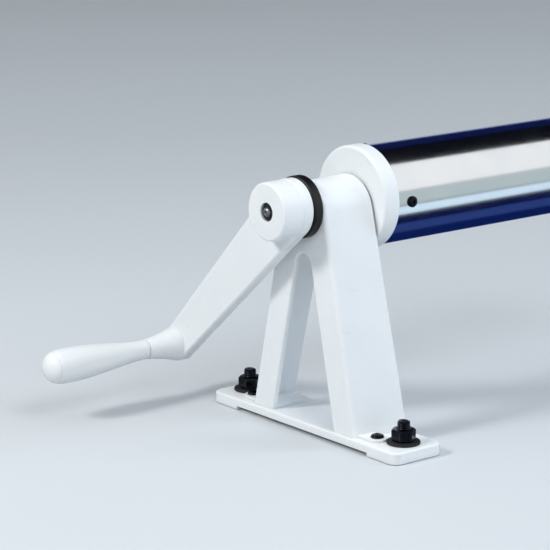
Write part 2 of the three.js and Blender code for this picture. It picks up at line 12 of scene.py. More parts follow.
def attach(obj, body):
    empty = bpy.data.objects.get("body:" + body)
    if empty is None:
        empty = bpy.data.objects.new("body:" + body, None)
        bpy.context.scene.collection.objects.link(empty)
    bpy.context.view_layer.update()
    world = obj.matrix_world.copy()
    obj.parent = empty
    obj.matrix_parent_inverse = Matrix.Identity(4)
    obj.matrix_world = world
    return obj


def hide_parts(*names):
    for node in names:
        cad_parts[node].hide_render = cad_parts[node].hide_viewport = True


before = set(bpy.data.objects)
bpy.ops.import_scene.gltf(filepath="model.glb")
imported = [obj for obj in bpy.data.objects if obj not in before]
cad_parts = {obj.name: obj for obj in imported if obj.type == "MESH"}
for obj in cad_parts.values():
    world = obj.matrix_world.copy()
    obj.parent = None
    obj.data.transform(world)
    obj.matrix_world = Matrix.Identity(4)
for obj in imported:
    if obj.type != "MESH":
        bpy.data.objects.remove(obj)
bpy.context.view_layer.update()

LOG = logging.getLogger("reel")
MM = 0.001
AXIS_HEIGHT = 174.0
ROUND = math.inf

Pair = tuple[float, float]
Triple = tuple[float, float, float]
Outline = list[Pair]


class Body(Enum):
    """The moving bodies a piece can ride on."""

    STAND = "stand"
    REEL = "reel"
    GRIP = "grip"


class Side(Enum):
    """The two ends of the base plate, as the sign of Y."""

    RIGHT = -1
    LEFT = 1


# ---------------------------------------------------------------- mesh building


def axis_frame(origin: Triple, direction: Triple) -> Matrix:
    """Place a local Z axis in the row frame.

    Args:
        origin: a point on the axis, in millimetres.
        direction: where local +Z points.

    Returns:
        The matrix from local coordinates to the row frame.
    """
    turn = Vector(direction).normalized().to_track_quat("Z", "Y").to_matrix().to_4x4()
    return Matrix.Translation(Vector(origin)) @ turn


def along_tube(y: float = 0.0, z: float = AXIS_HEIGHT) -> Matrix:
    """Place local +Z on an axis along +X through (0, y, z)."""
    return axis_frame((0.0, y, z), (1.0, 0.0, 0.0))


def filleted(corners: Sequence[Triple], closed: bool = False, steps: int = 5) -> Outline:
    """Round the corners of a profile.

    Args:
        corners: (along, radius, fillet) for each corner, with fillet 0 where it stays sharp.
        closed: whether the last corner joins the first.
        steps: how many pieces each rounding has.

    Returns:
        The profile's points as (along, radius) pairs.
    """
    points: Outline = []
    count = len(corners)
    for i, (x, y, fillet) in enumerate(corners):
        here = Vector((x, y))
        at_end = not closed and i in (0, count - 1)
        if fillet <= 0 or at_end:
            points.append((x, y))
            continue
        before = Vector(corners[i - 1][:2]) - here
        after = Vector(corners[(i + 1) % count][:2]) - here
        half = before.angle(after) / 2
        reach = min(fillet / math.tan(half), before.length * 0.49, after.length * 0.49)
        start = here + before.normalized() * reach
        end = here + after.normalized() * reach
        radius = reach * math.tan(half)
        middle = (before.normalized() + after.normalized()).normalized()
        centre = here + middle * (radius / math.sin(half))
        for k in range(steps + 1):
            blend = (start - centre).lerp(end - centre, k / steps).normalized() * radius
            points.append(tuple(centre + blend))
    return points


def splined(points: Sequence[Pair], steps: int = 4) -> Outline:
    """Run a smooth curve through points.

    Args:
        points: the points it passes, in order.
        steps: how many pieces lie between two points.

    Returns:
        The curve's points, both ends included.
    """
    known = [Vector(p) for p in points]
    padded = [known[0] * 2 - known[1], *known, known[-1] * 2 - known[-2]]
    curve: Outline = []
    for a, b, c, d in zip(padded, padded[1:], padded[2:], padded[3:]):
        for k in range(steps):
            t = k / steps
            value = 0.5 * (
                2 * b + (c - a) * t + (2 * a - 5 * b + 4 * c - d) * t**2 + (3 * b - a - 3 * c + d) * t**3
            )
            curve.append(tuple(value))
    return [*curve, tuple(known[-1])]


class Solid:
    """A mesh in the making, in millimetres, of one or more closed skins."""

    def __init__(self) -> None:
        """Start empty."""
        self.mesh = bmesh.new()

    def skin(self, rings: Sequence[Sequence[Triple]], closed: bool = False) -> "Solid":
        """Join equally long loops of points into one skin.

        Args:
            rings: the loops, in order.
            closed: whether the last loop joins the first; if not, both ends are capped.

        Returns:
            This solid.
        """
        rows = [[self.mesh.verts.new(Vector(p) * MM) for p in ring] for ring in rings]
        following = rows[1:] + rows[:1] if closed else rows[1:]
        for lower, upper in zip(rows, following):
            for i, _ in enumerate(lower):
                j = (i + 1) % len(lower)
                self.mesh.faces.new((lower[i], lower[j], upper[j], upper[i]))
        if not closed:
            self.mesh.faces.new(rows[0])
            self.mesh.faces.new(rows[-1])
        return self

    def turned(
        self,
        profile: Sequence[Sequence[float]],
        place: Matrix,
        closed: bool = False,
        segments: int = 96,
    ) -> "Solid":
        """Turn a profile about an axis.

        Args:
            profile: (along, radius) or (along, radius, apothem) stations; an apothem makes a hexagon.
            place: where the axis is.
            closed: whether the profile is a loop, as for a ring.
            segments: how many steps go round.

        Returns:
            This solid.
        """
        rings = []
        for along, radius, *flat in profile:
            apothem = flat[0] if flat else ROUND
            ring = []
            for k in range(segments):
                angle = math.tau * k / segments
                across = apothem / math.cos((angle + math.pi / 6) % (math.pi / 3) - math.pi / 6)
                reach = min(max(radius, 1e-4), across)
                ring.append(place @ Vector((reach * math.cos(angle), reach * math.sin(angle), along)))
            rings.append(ring)
        return self.skin(rings, closed)

    def ring(self, corners: Sequence[Triple], place: Matrix, segments: int = 96) -> "Solid":
        """Turn a closed profile of (along, radius, fillet) corners about an axis."""
        return self.turned(filleted(corners, closed=True), place, closed=True, segments=segments)

    def threaded(self, bottom: float, top: float, radius: float, pitch: float, place: Matrix) -> "Solid":
        """Add a rod with a real helical thread and a chamfered end.

        Args:
            bottom: where it starts along the axis.
            top: where it ends.
            radius: radius over the thread's crests.
            pitch: distance between two turns.
            place: where the axis is.

        Returns:
            This solid.
        """
        segments, rows = 48, round((top - bottom) / pitch * 6)
        rings = []
        for i in range(rows + 1):
            along = bottom + (top - bottom) * i / rows
            chamfer = max(0.0, along - (top - pitch * 0.7)) * 0.9
            ring = []
            for k in range(segments):
                phase = (along / pitch - k / segments) % 1.0
                reach = radius - abs(phase - 0.5) * pitch * 0.9 - chamfer
                angle = math.tau * k / segments
                ring.append(place @ Vector((reach * math.cos(angle), reach * math.sin(angle), along)))
            rings.append(ring)
        return self.skin(rings)

    def stacked(self, outline: Callable[[float], Outline], levels: Sequence[Pair], place: Matrix) -> "Solid":
        """Stack one outline at several heights, drawn in by an inset at each.

        Args:
            outline: gives the outline's points for an inset.
            levels: (height, inset) pairs from one end to the other.
            place: where the outline's plane and the stacking direction are.

        Returns:
            This solid.
        """
        rings = []
        for height, inset in levels:
            rings.append([place @ Vector((x, y, height)) for x, y in outline(inset)])
        return self.skin(rings)

    def block(self, low: Triple, high: Triple, edge: float, place: Matrix | None = None) -> "Solid":
        """Add a block with rounded edges.

        Args:
            low: its lowest corner.
            high: its highest corner.
            edge: the rounding of its edges.
            place: where it is, if not straight in the row frame.

        Returns:
            This solid.
        """
        place = place or Matrix.Identity(4)
        middle = (Vector(low) + Vector(high)) / 2
        half = (Vector(high) - Vector(low)) / 2
        outline = rounded_rectangle(half.x * 2, half.y * 2, edge)
        shift = place @ Matrix.Translation(middle)
        return self.stacked(outline, rounded_levels(-half.z, half.z, edge, edge), shift)

    def minus(self, cutter: "Solid") -> "Solid":
        """Take another solid away from this one, which has to be a single closed skin."""
        work = [self.to_object("work"), cutter.to_object("cutter")]
        cut = work[0].modifiers.new("cut", "BOOLEAN")
        cut.object, cut.operation, cut.solver = work[1], "DIFFERENCE", "EXACT"
        shown = work[0].evaluated_get(bpy.context.evaluated_depsgraph_get())
        self.mesh = bmesh.new()
        self.mesh.from_mesh(shown.to_mesh())
        for thing in work:
            bpy.data.meshes.remove(thing.data)
        return self

    def plus(self, other: "Solid") -> "Solid":
        """Add another solid's skins to this one."""
        carrier = bpy.data.meshes.new("carrier")
        other.mesh.to_mesh(carrier)
        self.mesh.from_mesh(carrier)
        bpy.data.meshes.remove(carrier)
        return self

    def to_object(self, name: str, sharp: float = 34.0) -> bpy.types.Object:
        """Make the object.

        Args:
            name: the object's name.
            sharp: edges over this angle, in degrees, stay crisp.

        Returns:
            The linked object, smooth away from its sharp edges.
        """
        bmesh.ops.remove_doubles(self.mesh, verts=self.mesh.verts, dist=2e-6)
        bmesh.ops.recalc_face_normals(self.mesh, faces=self.mesh.faces)
        data = bpy.data.meshes.new(name)
        self.mesh.to_mesh(data)
        data.shade_smooth()
        data.set_sharp_from_angle(angle=math.radians(sharp))
        made = bpy.data.objects.new(name, data)
        bpy.context.scene.collection.objects.link(made)
        bpy.context.view_layer.update()
        return made


def rounded_rectangle(width: float, height: float, corner: float) -> Callable[[float], Outline]:
    """Give a rounded rectangle's outline as a function of how far it is drawn in."""

    def outline(inset: float) -> Outline:
        """Trace the rectangle drawn in by an inset."""
        radius = max(corner - inset, 0.02)
        x, y = width / 2 - inset - radius, height / 2 - inset - radius
        points = []
        for quarter, (cx, cy) in enumerate([(x, y), (-x, y), (-x, -y), (x, -y)]):
            for k in range(7):
                angle = (quarter + k / 6) * math.pi / 2
                points.append((cx + radius * math.cos(angle), cy + radius * math.sin(angle)))
        return points

    return outline


def quarter_round(edge: float, steps: int = 5) -> Outline:
    """Trace a rounded edge as (drop, inset) pairs, from the side face up to the top face."""
    angles = [k / steps * math.pi / 2 for k in range(steps + 1)]
    return [(edge * (1 - math.sin(a)), edge * (1 - math.cos(a))) for a in angles]


def rounded_levels(
    bottom: float, top: float, low_edge: float, high_edge: float, steps: int = 4
) -> list[Pair]:
    """List (height, inset) levels of a prism whose two rims are rounded."""
    low = [(bottom + rise, inset) for inset, rise in quarter_round(low_edge, steps)]
    high = [(top - drop, inset) for drop, inset in quarter_round(high_edge, steps)]
    return low + high


# ---------------------------------------------------------------- shading


def linear(colour: str) -> tuple[float, float, float, float]:
    """Turn an sRGB hex colour into the linear RGBA that a socket takes."""
    channels = [int(colour[i : i + 2], 16) / 255 for i in (1, 3, 5)]
    return (*[c / 12.92 if c <= 0.04045 else ((c + 0.055) / 1.055) ** 2.4 for c in channels], 1.0)


def add(
    tree: bpy.types.NodeTree, kind: str, inputs: dict | None = None, **settings: object
) -> bpy.types.Node:
    """Add one node.

    Args:
        tree: where it goes.
        kind: its Blender type, without the ShaderNode prefix.
        inputs: its inputs by name or number; an output socket is linked, and anything else is set.
        **settings: its own properties.

    Returns:
        The node.
    """
    node = tree.nodes.new(f"ShaderNode{kind}")
    for key, value in settings.items():
        setattr(node, key, value)
    for key, value in (inputs or {}).items():
        if isinstance(value, bpy.types.NodeSocket):
            tree.links.new(value, node.inputs[key])
        else:
            node.inputs[key].default_value = value
    return node


@dataclass(frozen=True)
class Finish:
    """A real material and the process that finished it."""

    slot: str

    def shade(self, tree: bpy.types.NodeTree, place: bpy.types.NodeSocket) -> bpy.types.Node:
        """Build the shader; place is the piece's own coordinates in metres."""
        raise NotImplementedError

    def material(self) -> bpy.types.Material:
        """Return this finish's material, made the first time it is asked for."""
        name = type(self).__name__
        found = bpy.data.materials.get(name)
        if found:
            return found
        made = bpy.data.materials.new(name)
        tree = emptied(made)
        place = add(tree, "TexCoord").outputs["Object"]
        shader = self.shade(tree, place)
        add(tree, "OutputMaterial", {"Surface": shader.outputs[0]})
        return made


@dataclass(frozen=True)
class SatinMouldedAbs(Finish):
    """White ABS, injection moulded against a fine spark-eroded tool.

    The eye sees a satin white with a soft highlight that wavers a little where the plastic sank as it cooled,
    and faint handling scuffs; a grey painted shade darkens its corners and recesses.
    """

    slot: str = "white_moulding"
    white: str = "#f4f6f6"
    shade_white: str = "#eaeeef"
    scuff: str = "#d3d6d5"
    # grey of the painted shade in corners and recesses
    corner_shade: str = "#aeb2b0"
    roughness: tuple[float, float] = (0.3, 0.42)
    grain: float = 0.9  # drawn coarser than the real 0.2 mm, so that it shows
    sink: float = 38.0

    def shade(self, tree: bpy.types.NodeTree, place: bpy.types.NodeSocket) -> bpy.types.Node:
        """Build the shader; place is the piece's own coordinates in metres."""
        clouds = add(tree, "TexNoise", {"Vector": place, "Scale": 1 / (self.sink * MM), "Detail": 3.0})
        tone = add(
            tree,
            "Mix",
            {0: clouds.outputs[0], 6: linear(self.white), 7: linear(self.shade_white)},
            data_type="RGBA",
        )
        slanted = add(
            tree, "Mapping", {"Vector": place, "Rotation": (0.6, 0.4, 0.9), "Scale": (40.0, 420.0, 300.0)}
        )
        streaks = add(tree, "TexNoise", {"Vector": slanted.outputs[0], "Scale": 1.0, "Detail": 2.0})
        scuffs = add(
            tree, "MapRange", {"Value": streaks.outputs[0], "From Min": 0.66, "From Max": 0.8, "To Max": 0.45}
        )
        scuffed = add(
            tree,
            "Mix",
            {0: scuffs.outputs[0], 6: tone.outputs[2], 7: linear(self.scuff)},
            data_type="RGBA",
        )
        # Painted shade: ambient occlusion greys the colour in corners and recesses.
        corner = add(tree, "AmbientOcclusion", {"Distance": 0.007}, samples=6)
        corner_shade_mask = add(
            tree,
            "MapRange",
            {"Value": corner.outputs["AO"], "From Min": 0.25, "From Max": 0.75, "To Min": 0.3, "To Max": 0.0},
        )
        colour = add(
            tree,
            "Mix",
            {0: corner_shade_mask.outputs[0], 6: scuffed.outputs[2], 7: linear(self.corner_shade)},
            data_type="RGBA",
        )
        grain = add(tree, "TexNoise", {"Vector": place, "Scale": 1 / (self.grain * MM), "Detail": 2.0})
        low, high = self.roughness
        rough = add(
            tree,
            "MapRange",
            {"Value": streaks.outputs[0], "From Min": 0.35, "From Max": 0.8, "To Min": low, "To Max": high},
        )
        waver = add(tree, "Bump", {"Height": clouds.outputs[0], "Strength": 0.25, "Distance": 0.0006})
        texture = add(
            tree,
            "Bump",
            {"Height": grain.outputs[0], "Strength": 0.25, "Distance": 0.00006, "Normal": waver.outputs[0]},
        )
        return add(
            tree,
            "BsdfPrincipled",
            {
                "Base Color": colour.outputs[2],
                "Roughness": rough.outputs[0],
                "IOR": 1.54,
                "Normal": texture.outputs[0],
            },
        )


@dataclass(frozen=True)
class Patterned(Finish):
    """A finish whose colour, roughness and relief all follow one noise pattern.

    Its grain is the pattern's size in millimetres along X, Y and Z, and its relief is a bump's strength and
    distance.
    """

    colours: tuple[str, str]
    grain: Triple
    detail: float
    roughness: Pair
    relief: Pair
    metallic: float = 0.0
    ior: float = 1.5

    def tint(self, tree: bpy.types.NodeTree, pattern: bpy.types.NodeSocket) -> bpy.types.NodeSocket:
        """Give what mixes the two colours; here it is the pattern itself."""
        return pattern

    def shade(self, tree: bpy.types.NodeTree, place: bpy.types.NodeSocket) -> bpy.types.Node:
        """Build the shader; place is the piece's own coordinates in metres."""
        scale = [1 / (size * MM) for size in self.grain]
        scaled = add(tree, "Mapping", {"Vector": place, "Scale": scale})
        noise = add(tree, "TexNoise", {"Vector": scaled.outputs[0], "Scale": 1.0, "Detail": self.detail})
        pattern = noise.outputs[0]
        first, second = self.colours
        colour = add(
            tree,
            "Mix",
            {0: self.tint(tree, pattern), 6: linear(first), 7: linear(second)},
            data_type="RGBA",
        )
        low, high = self.roughness
        rough = low
        if low != high:
            rough = add(tree, "MapRange", {"Value": pattern, "To Min": low, "To Max": high}).outputs[0]
        strength, distance = self.relief
        bump = add(tree, "Bump", {"Height": pattern, "Strength": strength, "Distance": distance})
        return add(
            tree,
            "BsdfPrincipled",
            {
                "Base Color": colour.outputs[2],
                "Metallic": self.metallic,
                "Roughness": rough,
                "IOR": self.ior,
                "Normal": bump.outputs[0],
            },
        )


@dataclass(frozen=True)
class MouldedNylon(Patterned):
    """Black glass-filled nylon, moulded: a deep black with a soft sheen, mottled by fibres near the skin."""

    slot: str = "black_nylon"
    # black this deep partly so that the front bush's flange also stands in for the hub's shadow on the stand,
    # painted shade
    colours: tuple[str, str] = ("#030405", "#0a0b0e")
    grain: Triple = (2.5, 2.5, 2.5)
    detail: float = 5.0
    roughness: Pair = (0.4, 0.6)
    relief: Pair = (0.3, 0.0001)
    ior: float = 1.53


@dataclass(frozen=True)
class MouldedRubber(Patterned):
    """Black rubber, pressed in a mould: a matte grey-black bloom with hardly any highlight."""

    slot: str = "black_rubber"
    colours: tuple[str, str] = ("#0d0e0f", "#1e1f21")
    grain: Triple = (4.0, 4.0, 4.0)
    detail: float = 6.0
    roughness: Pair = (0.72, 0.72)
    relief: Pair = (0.4, 0.00015)
    ior: float = 1.52


@dataclass(frozen=True)
class DrawnPolishedAluminium(Finish):
    """Aluminium tube, drawn through a die and then polished along its length.

    The eye sees a near mirror whose reflections lie in bands along the tube, their borders drawn out by
    hair-fine lengthwise lines.
    """

    slot: str = "polished_aluminium"
    metal: str = "#f0f2f4"
    film: str = "#dfe5ea"
    line: float = 0.9  # drawn coarser than the real 0.1 mm, so that it shows

    def shade(self, tree: bpy.types.NodeTree, place: bpy.types.NodeSocket) -> bpy.types.Node:
        """Build the shader; place is the piece's own coordinates in metres."""
        across = 1 / (self.line * MM)
        drawn = add(tree, "Mapping", {"Vector": place, "Scale": (3.0, across, across)})
        lines = add(tree, "TexNoise", {"Vector": drawn.outputs[0], "Scale": 1.0, "Detail": 3.0})
        handled = add(tree, "TexNoise", {"Vector": place, "Scale": 30.0, "Detail": 4.0})
        colour = add(
            tree,
            "Mix",
            {0: handled.outputs[0], 6: linear(self.metal), 7: linear(self.film)},
            data_type="RGBA",
        )
        rough = add(tree, "MapRange", {"Value": handled.outputs[0], "To Min": 0.12, "To Max": 0.2})
        grooves = add(tree, "Bump", {"Height": lines.outputs[0], "Strength": 0.3, "Distance": 0.00005})
        return add(
            tree,
            "BsdfPrincipled",
            {
                "Base Color": colour.outputs[2],
                "Metallic": 1.0,
                "Roughness": rough.outputs[0],
                "Normal": grooves.outputs[0],
            },
        )


@dataclass(frozen=True)
class MillAluminium(Patterned):
    """Aluminium as it left the die, unpolished, as in the tube's bore: dull grey with long soft streaks."""

    slot: str = "polished_aluminium"
    colours: tuple[str, str] = ("#c9ccd0", "#b0b4b8")
    grain: Triple = (250.0, 3.0, 3.0)
    detail: float = 3.0
    roughness: Pair = (0.42, 0.6)
    relief: Pair = (0.3, 0.0001)
    metallic: float = 1.0


@dataclass(frozen=True)
class MachinedStainless(Patterned):
    """Stainless steel, turned and washed: a grey metal whose highlight is softened by fine tool marks."""

    slot: str = "stainless_steel"
    colours: tuple[str, str] = ("#c3c5c8", "#9a9da1")
    grain: Triple = (0.5, 11.111, 11.111)
    detail: float = 2.0
    roughness: Pair = (0.2, 0.42)
    relief: Pair = (0.2, 0.00008)
    metallic: float = 1.0


@dataclass(frozen=True)
class BlackOxideSteel(Patterned):
    """Steel fasteners in black oxide and oil: dark and faintly blue, rubbed back to steel at their edges."""

    slot: str = "blackened_steel"
    colours: tuple[str, str] = ("#26292f", "#6d7177")
    grain: Triple = (3.0, 3.0, 3.0)
    detail: float = 5.0
    roughness: Pair = (0.16, 0.34)
    relief: Pair = (0.25, 0.0001)
    metallic: float = 1.0

    def tint(self, tree: bpy.types.NodeTree, pattern: bpy.types.NodeSocket) -> bpy.types.NodeSocket:
        """Give what mixes the two colours: patches of wear along convex edges."""
        edges = add(tree, "NewGeometry").outputs["Pointiness"]
        worn = add(tree, "MapRange", {"Value": edges, "From Min": 0.53, "From Max": 0.6, "To Max": 0.6})
        patchy = add(tree, "Math", {0: worn.outputs[0], 1: pattern}, operation="MULTIPLY")
        return patchy.outputs[0]


ABS = SatinMouldedAbs()
NYLON = MouldedNylon()
RUBBER = MouldedRubber()
ALUMINIUM = DrawnPolishedAluminium()
MILL_ALUMINIUM = MillAluminium()
STAINLESS = MachinedStainless()
BLACK_STEEL = BlackOxideSteel()


def emptied(owner: bpy.types.Material | bpy.types.World) -> bpy.types.NodeTree:
    """Switch an owner's nodes on and give its tree, empty."""
    owner.use_nodes = True
    owner.node_tree.nodes.clear()
    return owner.node_tree


def dress(name: str, solid: Solid, finish: Finish, body: Body, *nodes: str) -> bpy.types.Object:
    """Turn a solid into a finished piece of the frame.

    Args:
        name: the piece's name.
        solid: its mesh.
        finish: what it is made of.
        body: what it rides on.
        *nodes: the CAD nodes it stands for.

    Returns:
        The piece.
    """
    piece = solid.to_object(name)
    piece.data.materials.append(finish.material())
    normals = piece.modifiers.new("flat faces stay flat", "WEIGHTED_NORMAL")
    normals.keep_sharp = True
    normals.weight = 100
    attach(piece, body.value)
    if nodes:
        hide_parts(*nodes)
    LOG.info("%s: %d faces on %s", name, len(piece.data.polygons), body.value)
    return piece


def dress_node(node: str, finish: Finish) -> None:
    """Give a CAD node that is shown as it is its finish."""
    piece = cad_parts[node]
    piece.data.materials.clear()
    piece.data.materials.append(finish.material())
    LOG.info("%s: CAD node, %s", node, type(finish).__name__)


# ---------------------------------------------------------------- fasteners


@dataclass(frozen=True)
class ButtonScrew:
    """A domed screw with a hexagon socket; its seat is at local zero and it points up."""

    head_radius: float
    head_height: float
    shank_radius: float
    shank_length: float
    socket_apothem: float = 1.5
    socket_depth: float = 1.3

    def solid(self, place: Matrix) -> Solid:
        """Build the screw with its seat at place."""
        top, brim, edge = self.head_height, 0.5, 0.15
        profile: list[tuple[float, ...]] = [
            (-self.shank_length, 0.0),
            (-self.shank_length, self.shank_radius - 0.4),
            (-self.shank_length + 0.5, self.shank_radius),
            (0.0, self.shank_radius),
            (0.0, self.head_radius - edge),
            (edge, self.head_radius),
            (brim, self.head_radius),
        ]
        inner = self.socket_apothem * 1.35
        for k in range(1, 8):
            angle = k / 7 * math.pi / 2
            reach = inner + (self.head_radius - inner) * math.cos(angle)
            profile.append((brim + (top - brim) * math.sin(angle), reach))
        floor = top - self.socket_depth
        profile += [
            (top, inner, self.socket_apothem + edge),
            (top - edge, inner, self.socket_apothem),
            (floor, inner, self.socket_apothem),
            (floor - 0.3, 0.0),
        ]
        return Solid().turned(profile, place, segments=48)


@dataclass(frozen=True)
class AnchorBolt:
    """A threaded stud with a hexagon nut over a thick washer, at both ends of the base."""

    y: float = 90.5
    thread_radius: float = 4.95
    shank_radius: float = 4.7
    stud_bottom: float = 0.2
    stud_top: float = 26.2
    thread_start: float = 19.0
    pitch: float = 1.5
    washer_radius: float = 12.5
    washer_levels: Pair = (9.1, 11.1)
    nut_corner: float = 9.2
    nut_levels: Pair = (11.2, 20.2)
    nut_slope: float = 0.55
    hole_radius: float = 5.15

    def nut(self, place: Matrix) -> Solid:
        """Build the nut with its corners turned off by a chamfer at both ends."""
        bottom, top = self.nut_levels
        apothem = self.nut_corner * math.cos(math.pi / 6)
        flat = apothem - 0.5
        reach = self.nut_corner - flat
        rise = self.nut_slope * reach
        corners = [
            (bottom, self.hole_radius, ROUND),
            (bottom, flat, ROUND),
            *[(bottom + rise * k / 4, flat + reach * k / 4, apothem) for k in range(5)],
            *[(top - rise * k / 4, flat + reach * k / 4, apothem) for k in range(4, -1, -1)],
            (top, flat, ROUND),
            (top, self.hole_radius + 0.4, ROUND),
            (top - 0.4, self.hole_radius, ROUND),
        ]
        return Solid().turned(corners, place, closed=True, segments=96)

    def washer(self, place: Matrix) -> Solid:
        """Build the washer with its rim rounded."""
        bottom, top = self.washer_levels
        corners = [
            (bottom, self.hole_radius, 0.1),
            (bottom, self.washer_radius, 0.5),
            (top, self.washer_radius, 0.7),
            (top, self.hole_radius, 0.2),
        ]
        return Solid().ring(corners, place)

    def stud(self, place: Matrix) -> Solid:
        """Build the stud: a plain shank and the thread that stands out of the nut."""
        shank = filleted(
            [
                (self.stud_bottom, 0, 0),
                (self.stud_bottom, self.shank_radius, 0.6),
                (self.thread_start, self.shank_radius, 0),
                (self.thread_start, 0, 0),
            ]
        )
        solid = Solid().turned(shank, place, segments=48)
        return solid.threaded(self.thread_start - 1, self.stud_top, self.thread_radius, self.pitch, place)

    def build(self) -> None:
        """Build and dress both bolts."""
        for side in Side:
            label = side.name.lower()
            place = axis_frame((0.0, side.value * self.y, 0.0), (0.0, 0.0, 1.0))
            stud = self.stud(place)
            dress(f"stud_{label}", stud, BLACK_STEEL, Body.STAND, f"anchor_stud_{label}")
            dress(f"washer_{label}", self.washer(place), RUBBER, Body.STAND, f"anchor_washer_{label}")
            dress(f"nut_{label}", self.nut(place), BLACK_STEEL, Body.STAND, f"anchor_nut_{label}")


# ---------------------------------------------------------------- base and stand


@dataclass(frozen=True)
class BasePlate:
    """The moulded base: a rounded bar that rests on a raised land at each end."""

    length: float = 216.0
    depth: float = 48.0
    top: float = 9.0
    corner: float = 7.0
    edges: Pair = (0.7, 1.6)
    land_height: float = 3.0
    land_fillet: float = 0.8
    land_start: float = 77.0
    bolt_y: float = 90.5
    bolt_hole: float = 5.6
    screw_at: Pair = (6.0, 50.0)
    screw_hole: float = 2.15
    counterbore: Pair = (4.8, 6.0)

    def holes(self) -> list[Solid]:
        """Build what is cut out: a bolt hole at each end and a counterbored screw hole under each leg."""
        cutters = []
        for side in Side:
            bolt = axis_frame((0.0, side.value * self.bolt_y, 0.0), (0.0, 0.0, 1.0))
            through = [(-1, self.bolt_hole), (self.top + 1, self.bolt_hole)]
            cutters.append(Solid().turned(through, bolt, segments=48))
            x, y = self.screw_at
            screw = axis_frame((x, side.value * y, 0.0), (0.0, 0.0, 1.0))
            radius, depth = self.counterbore
            steps = [(-1, radius), (depth, radius), (depth, self.screw_hole), (self.top + 1, self.screw_hole)]
            cutters.append(Solid().turned(steps, screw, segments=40))
        return cutters

    def build(self) -> None:
        """Build and dress the base."""
        outline = rounded_rectangle(self.depth, self.length, self.corner)
        levels = rounded_levels(0.0, self.top, *self.edges)
        bar = Solid().stacked(outline, levels, Matrix.Identity(4))
        for cutter in self.holes():
            bar.minus(cutter)
        low = (-self.depth, -self.land_start, -self.top)
        high = (self.depth, self.land_start, self.land_height)
        bar.minus(Solid().block(low, high, self.land_fillet))
        dress("base_moulding", bar, ABS, Body.STAND, "base_plate")


@dataclass(frozen=True)
class Arch:
    """Two straight legs that meet a round top.

    It is given by its half width at the foot, its top's radius and the height of that radius's centre.
    """

    half_width: float
    radius: float
    centre: float

    def grown(self, by: float) -> "Arch":
        """Give this arch moved outwards by a distance."""
        return Arch(self.half_width + by, self.radius + by, self.centre)

    def mixed(self, other: "Arch", share: float) -> "Arch":
        """Give the arch part-way to another."""
        return Arch(
            self.half_width + (other.half_width - self.half_width) * share,
            self.radius + (other.radius - self.radius) * share,
            self.centre + (other.centre - self.centre) * share,
        )

    def outline(self, foot: float, leg_steps: int = 14, top_steps: int = 36) -> Outline:
        """Trace the arch from its right foot to its left foot.

        Args:
            foot: the height its legs end at.
            leg_steps: how many pieces each leg has.
            top_steps: how many pieces the round top has.

        Returns:
            (y, z) points.
        """
        rise = self.centre - foot
        towards_centre = math.atan2(rise, -self.half_width)
        spread = math.asin(self.radius / math.hypot(self.half_width, rise))
        first = towards_centre - spread - math.pi / 2
        top = []
        for i in range(top_steps + 1):
            angle = first + (math.pi - 2 * first) * i / top_steps
            top.append((self.radius * math.cos(angle), self.centre + self.radius * math.sin(angle)))
        leg = [Vector((self.half_width, foot)).lerp(Vector(top[0]), i / leg_steps) for i in range(leg_steps)]
        right = [(p.x, p.y) for p in leg]
        return [*right, *top, *[(-y, z) for y, z in reversed(right)]]


